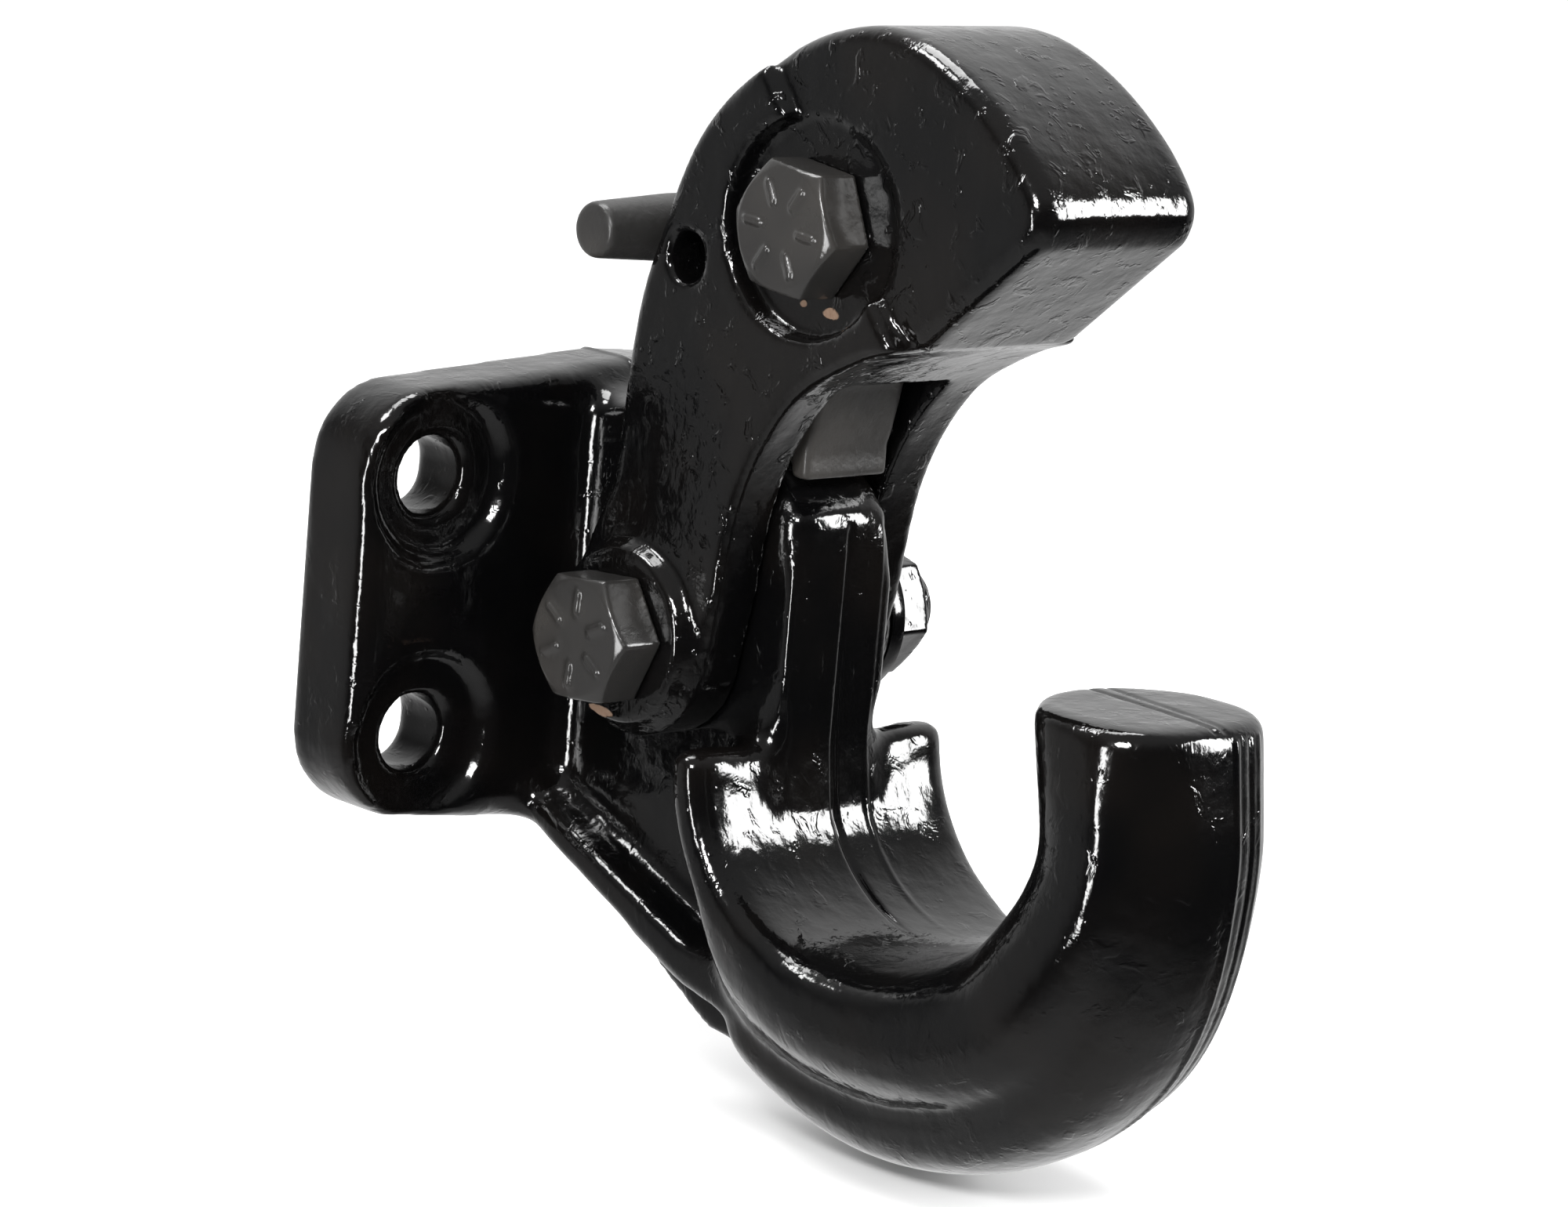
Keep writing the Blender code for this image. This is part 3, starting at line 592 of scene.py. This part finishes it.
def hexagon(centre, low, high, turn):
    """A hexagonal prism along X, with a corner at the turning angle."""
    bm = bmesh.new()
    bmesh.ops.create_cone(bm, cap_ends=True, segments=6, radius1=FLATS / math.sqrt(3) * MM,
                          radius2=FLATS / math.sqrt(3) * MM, depth=(high - low) * MM)
    bmesh.ops.rotate(bm, verts=bm.verts, matrix=Matrix.Rotation(math.pi / 2, 3, "Y"))
    bmesh.ops.rotate(bm, verts=bm.verts, matrix=Matrix.Rotation(math.radians(turn), 3, "X"))
    bmesh.ops.translate(bm, verts=bm.verts,
                        vec=Vector(((low + high) / 2, centre[0], centre[1])) * MM)
    return bm


def grade_mark(centre, face, turn):
    """One raised bar of the six on a bolt head, as long as the ring between two radii."""
    inner, outer, half, proud = 3.9, 8.5, 0.62, 0.7
    bm = slab([(inner, -half, 0.5), (outer, -half, 0.5), (outer, half, 0.5),
               (inner, half, 0.5)], "X", face - proud, face + 1, corner_steps=3)
    bmesh.ops.rotate(bm, verts=bm.verts, matrix=Matrix.Rotation(math.radians(turn), 3, "X"))
    bmesh.ops.translate(bm, verts=bm.verts, vec=Vector((0, centre[0], centre[1])) * MM)
    return bm


print("hexagon across corners:", round(2 * FLATS / math.sqrt(3), 2), "mm")


# %% Bolts
def bolt(name, centre, seat, end, corner, marks):
    """Head, marks and threaded shank, with the head's seat at -seat and the shank to end."""
    under, face = -seat - GAP, -seat - GAP - 9
    head = shape(name, hexagon(centre, face, under, corner))
    crown = turned([(face, 0), (face, 9.8), (face + 1.6, 12.5), (under, 12.5), (under, 0)],
                   centre)
    merge(head, [crown], "INTERSECT")
    merge(head, [grade_mark(centre, face, marks + 60 * k) for k in range(6)], "UNION")
    cast(head, 0.3, [(4, 2, lambda p: True)], 2)
    thread = [(under - 2, 0), (under - 2, BOLT_R), (end - 8, BOLT_R)]
    for k in range(5):
        thread += [(end - 7.6 + 1.4 * k, BOLT_R - 0.75), (end - 6.9 + 1.4 * k, BOLT_R)]
    thread += [(end - 0.8, BOLT_R - 0.4), (end, BOLT_R - 1.4), (end, 0)]
    merge(head, [turned(thread, centre, 48)], "UNION")
    return head


nut_end = BOSS_FACE + GAP + 3 + GAP + 12.3
pivot_bolt = bolt("pivot_bolt", PIVOT, BOSS_FACE, nut_end + 2.4, -4, 34)
lock_bolt = bolt("lock_bolt", LOCK, 18, 18 + GAP + 12.3 + 2.4, 7, 5)


# %% Nuts and the washer
def nut(name, centre, seat, corner):
    """A lock nut: hexagon, round collar, and three dents punched to grip the thread."""
    low = seat + GAP
    top = low + 12.3
    body = shape(name, hexagon(centre, low, top - 2.6, corner))
    crown = turned([(low, 0), (low, 12.5), (top - 4.1, 12.5), (top - 2.6, 9.8), (top - 2.6, 0)],
                   centre)
    merge(body, [crown], "INTERSECT")
    collar = turned([(low + 1, 0), (low + 1, 9.3), (top - 2.6, 9.3), (top, 8.2), (top, 0)],
                    centre)
    merge(body, [collar], "UNION")
    for k in range(3):
        dent = bmesh.new()
        bmesh.ops.create_uvsphere(dent, u_segments=16, v_segments=10, radius=1.5 * MM)
        angle = math.radians(corner + 30 + 120 * k)
        place = Vector((top - 1.3, centre[0] + 9.4 * math.cos(angle),
                        centre[1] + 9.4 * math.sin(angle)))
        bmesh.ops.translate(dent, verts=dent.verts, vec=place * MM)
        merge(body, [dent], "DIFFERENCE")
    merge(body, [rod(centre, BOLT_R + GAP, low - 5, top + 5)], "DIFFERENCE")
    return cast(body, 0.34, [(3, 1, lambda p: True)], 2)


pivot_nut = nut("pivot_nut", PIVOT, BOSS_FACE + GAP + 3, 10)
lock_nut = nut("lock_nut", LOCK, 18, 35)
washer = shape("pivot_washer", rod(PIVOT, 14.5, BOSS_FACE + GAP, BOSS_FACE + GAP + 3, 96))
merge(washer, [rod(PIVOT, BOLT_R + GAP, 20, 40)], "DIFFERENCE")
rims = bmesh.new()
rims.from_mesh(washer.data)
soften_rims(rims, 0.5, 3)
for face in rims.faces:
    face.smooth = True
rims.to_mesh(washer.data)
rims.free()
washer.data.set_sharp_from_angle(angle=math.radians(40))
print("washer faces:", len(washer.data.polygons))

# %% [markdown]
# ## Black enamel
#
# The paint is one glossy, nearly black layer over rough steel, so its colour matters little and
# its shape matters a lot. Four heights are added up: the slow waves of the casting, runs where
# wet paint crept down, the fine orange peel of sprayed enamel, and scattered bumps where grit
# or sand lies under it. They
# bend the reflections instead of colouring them. Noise on Object coordinates is the same from
# all sides and needs no unwrapping, and every piece rests at the origin, so the pattern stays
# put when the piece moves. Chips are small and rare, and show primer brown.

# %% Node helpers
def wire(tree, kind, inputs=None, **settings):
    """Adds a node, and fills its inputs with numbers or with other nodes' outputs."""
    made = tree.nodes.new(kind)
    for key, value in settings.items():
        setattr(made, key, value)
    for key, value in (inputs or {}).items():
        if isinstance(value, bpy.types.NodeSocket):
            tree.links.new(value, made.inputs[key])
        else:
            made.inputs[key].default_value = value
    return made


def maths(tree, operation, a, b=0.0, clamp=False):
    return wire(tree, "ShaderNodeMath", {0: a, 1: b}, operation=operation,
                use_clamp=clamp).outputs[0]


def ramp(tree, value, low, high):
    """A smooth step from 0 to 1 between two levels of a value."""
    made = wire(tree, "ShaderNodeMapRange", {"Value": value, "From Min": low, "From Max": high},
                interpolation_type="SMOOTHSTEP")
    return made.outputs["Result"]


def noise(tree, place, scale, detail=2.0, rough=0.5, bend=0.0):
    return wire(tree, "ShaderNodeTexNoise", {
        "Vector": place, "Scale": scale, "Detail": detail, "Roughness": rough,
        "Distortion": bend}).outputs["Fac"]


def blend_colour(tree, share, a, b):
    made = wire(tree, "ShaderNodeMix", data_type="RGBA")
    for index, value in ((0, share), (6, a), (7, b)):
        if isinstance(value, bpy.types.NodeSocket):
            tree.links.new(value, made.inputs[index])
        else:
            made.inputs[index].default_value = value
    return made.outputs[2]


# %% Enamel
BLACK, WARM_BLACK = (0.0012, 0.0012, 0.0013, 1), (0.0026, 0.0022, 0.0020, 1)
THIN_BLACK = ((0.014, 0.0135, 0.013, 1), (0.026, 0.024, 0.022, 1))
PRIMER = (0.12, 0.062, 0.035, 1)
BARE = (0.16, 0.11, 0.075, 1)


def spot_mask(tree, place, centre, radii, ragged):
    """1 inside an egg shape round a point in millimetres, with a ragged edge."""
    moved = wire(tree, "ShaderNodeVectorMath", {0: place, 1: Vector(centre) * MM},
                 operation="SUBTRACT").outputs[0]
    scaled = wire(tree, "ShaderNodeVectorMath", {0: moved, 1: Vector(radii) * MM},
                  operation="DIVIDE").outputs[0]
    far = wire(tree, "ShaderNodeVectorMath", {0: scaled}, operation="LENGTH").outputs["Value"]
    far = maths(tree, "ADD", far, maths(tree, "MULTIPLY", ragged, 1.1))
    return maths(tree, "SUBTRACT", 1.0, ramp(tree, far, 1.2, 1.4))


def enamel(name, shift, waves=1.0, peel=1.0, grit=1.0, gloss=0.08, dusty=0.0, runs=0.0,
           bare=(), tones=(BLACK, WARM_BLACK)):
    """Gloss black over a casting. The strengths multiply each of the heights."""
    look = bpy.data.materials.new(name)
    look.use_nodes = True
    tree = look.node_tree
    shader = tree.nodes["Principled BSDF"]
    object_place = wire(tree, "ShaderNodeTexCoord").outputs["Object"]
    place = wire(tree, "ShaderNodeMapping", {"Vector": object_place, "Location": shift}
                 ).outputs["Vector"]
    wave = noise(tree, place, 95, 2.0)
    skin = noise(tree, place, 620, 2.5, 0.55)
    lump = ramp(tree, noise(tree, place, 230, 3.0, 0.6, 0.6), 0.56, 0.70)
    hanging = wire(tree, "ShaderNodeMapping", {"Vector": place, "Scale": (1.0, 1.0, 0.14)}
                   ).outputs["Vector"]
    run = ramp(tree, noise(tree, hanging, 210, 2.0, 0.5, 0.4), 0.44, 0.66)
    height = maths(tree, "MULTIPLY", wave, 0.60 * waves)
    height = maths(tree, "ADD", height, maths(tree, "MULTIPLY", run, 0.16 * runs))
    height = maths(tree, "ADD", height, maths(tree, "MULTIPLY", skin, 0.045 * peel))
    height = maths(tree, "ADD", height, maths(tree, "MULTIPLY", lump, 0.075 * grit))
    chips = wire(tree, "ShaderNodeTexVoronoi", {"Vector": place, "Scale": 75.0,
                                                "Randomness": 1.0})
    pick = wire(tree, "ShaderNodeSeparateColor", {"Color": chips.outputs["Color"]}).outputs[0]
    chip = maths(tree, "MULTIPLY", maths(tree, "LESS_THAN", chips.outputs["Distance"], 0.030),
                 maths(tree, "GREATER_THAN", pick, 0.86))
    fine = noise(tree, place, 1500, 1.0)
    specks = wire(tree, "ShaderNodeTexVoronoi", {"Vector": place, "Scale": 420.0})
    dust = maths(tree, "SUBTRACT", 1.0, ramp(tree, specks.outputs["Distance"], 0.10, 0.22))
    dust = maths(tree, "MULTIPLY", dust, ramp(tree, noise(tree, place, 60), 0.50, 0.62))
    ragged = noise(tree, place, 380, 3.0, 0.65)
    worn = chip
    for centre, radii in bare:
        worn = maths(tree, "MAXIMUM", worn, spot_mask(tree, object_place, centre, radii, ragged))
    height = maths(tree, "SUBTRACT", height, maths(tree, "MULTIPLY", worn, 0.10))
    height = maths(tree, "ADD", height, maths(tree, "MULTIPLY", dust, 0.06 * (grit + dusty)))
    bump = wire(tree, "ShaderNodeBump", {"Height": height, "Distance": 0.0008, "Strength": 1.0})
    tone = blend_colour(tree, ramp(tree, noise(tree, place, 40), 0.4, 0.7), *tones)
    brown = blend_colour(tree, fine, PRIMER, BARE)
    tree.links.new(blend_colour(tree, worn, tone, brown), shader.inputs["Base Color"])
    rough = maths(tree, "ADD", gloss, maths(tree, "MULTIPLY", skin, 0.06 + 0.35 * dusty))
    rough = maths(tree, "ADD", rough, maths(tree, "MULTIPLY", worn, 0.5), clamp=True)
    tree.links.new(rough, shader.inputs["Roughness"])
    tree.links.new(bump.outputs["Normal"], shader.inputs["Normal"])
    shader.inputs["Metallic"].default_value = 0.0
    shader.inputs["IOR"].default_value = 1.5
    return look


# Where the paint has come away: under the pivot bolt's head, and under the lock bolt's.
UNDER_BOLTS = [((-25.4, PIVOT[0] + 2.0, PIVOT[1] - 13.6), (1.4, 4.0, 1.1)),
               ((-18.2, LOCK[0] - 4.0, LOCK[1] - 13.4), (1.2, 2.6, 1.2)),
               ((-18.2, LOCK[0] + 2.5, LOCK[1] - 12.8), (1.2, 1.0, 0.7))]


def paint(obj, look):
    obj.data.materials.clear()
    obj.data.materials.append(look)


body_paint = enamel("body_enamel", (0, 0, 0), waves=0.9, peel=1.4, grit=0.8, runs=0.22)
latch_paint = enamel("latch_enamel", (0.31, 0.07, 0.12), waves=1.1, peel=2.0, grit=2.0,
                     runs=0.2, bare=UNDER_BOLTS)
lever_paint = enamel("lever_enamel", (0.11, 0.23, 0.05), waves=0.3, peel=2.4, grit=0.6,
                     gloss=0.2, dusty=0.8, tones=THIN_BLACK)
head_paint = dict(waves=0.12, peel=1.0, grit=0.35, gloss=0.2, tones=THIN_BLACK)
pivot_bolt_paint = enamel("pivot_bolt_enamel", (0.2, 0.4, 0.1), **head_paint)
lock_bolt_paint = enamel("lock_bolt_enamel", (0.5, 0.1, 0.3), **head_paint)
pivot_nut_paint = enamel("pivot_nut_enamel", (0.4, 0.6, 0.2), waves=0.9, peel=1.0, grit=1.4)
lock_nut_paint = enamel("lock_nut_enamel", (0.7, 0.2, 0.6), waves=0.9, peel=1.0, grit=1.4)
washer_paint = enamel("washer_enamel", (0.9, 0.3, 0.8), waves=0.4, peel=1.0, grit=0.8)
for piece, look in ((hook, body_paint), (latch, latch_paint), (lever, lever_paint),
                    (pivot_bolt, pivot_bolt_paint), (lock_bolt, lock_bolt_paint),
                    (pivot_nut, pivot_nut_paint), (lock_nut, lock_nut_paint),
                    (washer, washer_paint)):
    paint(piece, look)
print("enamels:", len(bpy.data.materials))

# %% [markdown]
# ## Spring steel
#
# The coil that returns the lever hides between the cheeks. Its CAD shape is right, so it stays,
# and only its slot gets a new finish: drawn wire with faint lines round it and a film of oil.

# %% Spring
def spring_steel():
    look = bpy.data.materials.new("spring_steel")
    look.use_nodes = True
    tree = look.node_tree
    shader = tree.nodes["Principled BSDF"]
    place = wire(tree, "ShaderNodeTexCoord").outputs["Object"]
    streak = noise(tree, wire(tree, "ShaderNodeMapping", {
        "Vector": place, "Scale": (4.0, 1.0, 1.0)}).outputs["Vector"], 900, 3.0)
    stain = ramp(tree, noise(tree, place, 200, 3.0), 0.5, 0.75)
    tree.links.new(blend_colour(tree, stain, (0.34, 0.33, 0.33, 1), (0.12, 0.09, 0.07, 1)),
                   shader.inputs["Base Color"])
    tree.links.new(maths(tree, "ADD", 0.24, maths(tree, "MULTIPLY", streak, 0.3)),
                   shader.inputs["Roughness"])
    bump = wire(tree, "ShaderNodeBump", {"Height": streak, "Distance": 0.00005})
    tree.links.new(bump.outputs["Normal"], shader.inputs["Normal"])
    shader.inputs["Metallic"].default_value = 1.0
    return look


for slot in frame["nodes"]["lock_spring"].material_slots:
    slot.material = spring_steel()
print("spring finish set")

# %% [markdown]
# ## Which piece rides on which body
#
# The hook stands still, the jaw swings on the latch pivot, and the lock swings on the jaw. Each
# new piece says which body it rides on, which CAD node it stands for, and which of the
# enamels above it wears.

# %% Riding
for piece, body, node, finish in (
        (hook, "hook", "hook_body", "body_enamel"),
        (latch, "jaw", "latch", "latch_enamel"),
        (pivot_bolt, "jaw", "latch_pivot_bolt", "pivot_bolt_enamel"),
        (washer, "jaw", "latch_pivot_washer", "washer_enamel"),
        (pivot_nut, "jaw", "latch_pivot_nut", "pivot_nut_enamel"),
        (lock_bolt, "jaw", "lock_pivot_bolt", "lock_bolt_enamel"),
        (lock_nut, "jaw", "lock_pivot_nut", "lock_nut_enamel"),
        (lever, "lock", "lock_lever", "lever_enamel")):
    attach(piece, body)
    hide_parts(node)
    print(piece.name, "rides on", body)

# %% [markdown]
# ## Floor, lights and camera
#
# Glossy black shows hardly anything but its surroundings. A pale floor and a pale wall behind
# the hook give the tops their sheen, the room behind the camera is dark, and a few softboxes
# draw the highlights along the rounded edges. Only mirrored rays meet the dark room: all other
# rays meet a pale one, so the floor stays bright to the horizon. The floor is left out of the
# reflections, so the flat faces stay deep.

# %% Floor
floor_mesh = bmesh.new()
bmesh.ops.create_grid(floor_mesh, x_segments=8, y_segments=8, size=4.0)
bmesh.ops.translate(floor_mesh, verts=floor_mesh.verts, vec=(0, 0, cad_box[0].z - 0.0008))
floor = shape("floor", floor_mesh)
floor_look = bpy.data.materials.new("floor_paper")
floor_look.use_nodes = True
paper = floor_look.node_tree.nodes["Principled BSDF"]
paper.inputs["Base Color"].default_value = (0.86, 0.86, 0.86, 1)
paper.inputs["Roughness"].default_value = 0.9
paint(floor, floor_look)
floor.visible_glossy = False


# %% Room
room = bpy.data.worlds.new("studio")
bpy.context.scene.world = room
room.use_nodes = True
tree = room.node_tree
tree.nodes.clear()
direction = wire(tree, "ShaderNodeTexCoord").outputs["Generated"]
behind = wire(tree, "ShaderNodeVectorMath", {0: direction, 1: (0.70, 0.71, 0.0)},
              operation="DOT_PRODUCT").outputs["Value"]
height = wire(tree, "ShaderNodeSeparateXYZ", {"Vector": direction}).outputs["Z"]
wall = maths(tree, "MULTIPLY", ramp(tree, behind, 0.15, 0.75), 0.85)
downward = maths(tree, "MULTIPLY", height, -1.0)
below = maths(tree, "MULTIPLY", ramp(tree, downward, 0.3, 0.85), 0.45)
above = maths(tree, "MULTIPLY", ramp(tree, height, 0.2, 0.9), 0.32)
beside = wire(tree, "ShaderNodeVectorMath", {0: direction, 1: (-0.69, 0.70, -0.2)},
              operation="DOT_PRODUCT").outputs["Value"]
side = maths(tree, "MULTIPLY", ramp(tree, beside, 0.70, 0.98), 0.30)
level = maths(tree, "ADD", maths(tree, "ADD", wall, below), maths(tree, "ADD", above, 0.012))
level = maths(tree, "ADD", level, side)
mirrored = wire(tree, "ShaderNodeLightPath").outputs["Is Glossy Ray"]
dark_room = wire(tree, "ShaderNodeBackground", {"Color": (1, 1, 1, 1), "Strength": level})
pale_room = wire(tree, "ShaderNodeBackground", {"Color": (1, 1, 1, 1), "Strength": 1.2})
either = wire(tree, "ShaderNodeMixShader", {0: mirrored, 1: pale_room.outputs[0],
                                            2: dark_room.outputs[0]})
wire(tree, "ShaderNodeOutputWorld", {"Surface": either.outputs[0]})


# %% Softboxes
AIM = Vector((0, -0.075, 0.01))


def softbox(name, towards, distance, size, power):
    """A rectangular area light in a direction from the hook, facing it."""
    light = bpy.data.lights.new(name, "AREA")
    light.shape = "RECTANGLE"
    light.size, light.size_y = size
    light.energy = power
    made = bpy.data.objects.new(name, light)
    way = Vector(towards).normalized()
    made.location = AIM + way * distance
    made.rotation_mode = "QUATERNION"
    made.rotation_quaternion = way.to_track_quat("Z", "Y")
    bpy.context.scene.collection.objects.link(made)
    print(name, "at", [round(c, 2) for c in made.location])


softbox("front_right", (0.69, -0.66, 0.30), 1.1, (0.26, 0.55), 10)
softbox("front_left", (-0.67, -0.46, 0.48), 1.1, (0.30, 0.24), 10)
softbox("high_left", (-0.41, 0.31, 0.84), 1.1, (0.30, 0.24), 5)
softbox("overhead", (0.05, 0.25, 1.0), 1.0, (0.55, 0.40), 8)
softbox("left_strip", (-0.95, -0.22, -0.02), 1.1, (0.16, 0.60), 8)

# %% Camera
camera_data = bpy.data.cameras.new("camera")
camera_data.sensor_width = 36
camera_data.lens = 117.072
camera_data.clip_start, camera_data.clip_end = 0.01, 50
camera = bpy.data.objects.new("camera", camera_data)
AZIMUTH, ELEVATION, ROLL = (math.radians(a) for a in (-44.548, 11.266, 5.009))
back = Vector((math.sin(AZIMUTH) * math.cos(ELEVATION), -math.cos(AZIMUTH) * math.cos(ELEVATION),
               math.sin(ELEVATION)))
right = (-back).cross(Vector((0, 0, 1))).normalized()
up = right.cross(-back)
rolled_right = right * math.cos(ROLL) + up * math.sin(ROLL)
rolled_up = up * math.cos(ROLL) - right * math.sin(ROLL)
camera.rotation_mode = "QUATERNION"
camera.rotation_quaternion = Matrix((rolled_right, rolled_up, back)).transposed().to_quaternion()
camera.location = (-0.591757, -0.657817, 0.173870)
bpy.context.scene.collection.objects.link(camera)
bpy.context.scene.camera = camera
bpy.context.scene.view_settings.view_transform = "Standard"
print("camera", round(camera_data.angle_x * 180 / math.pi, 2), "degrees wide")
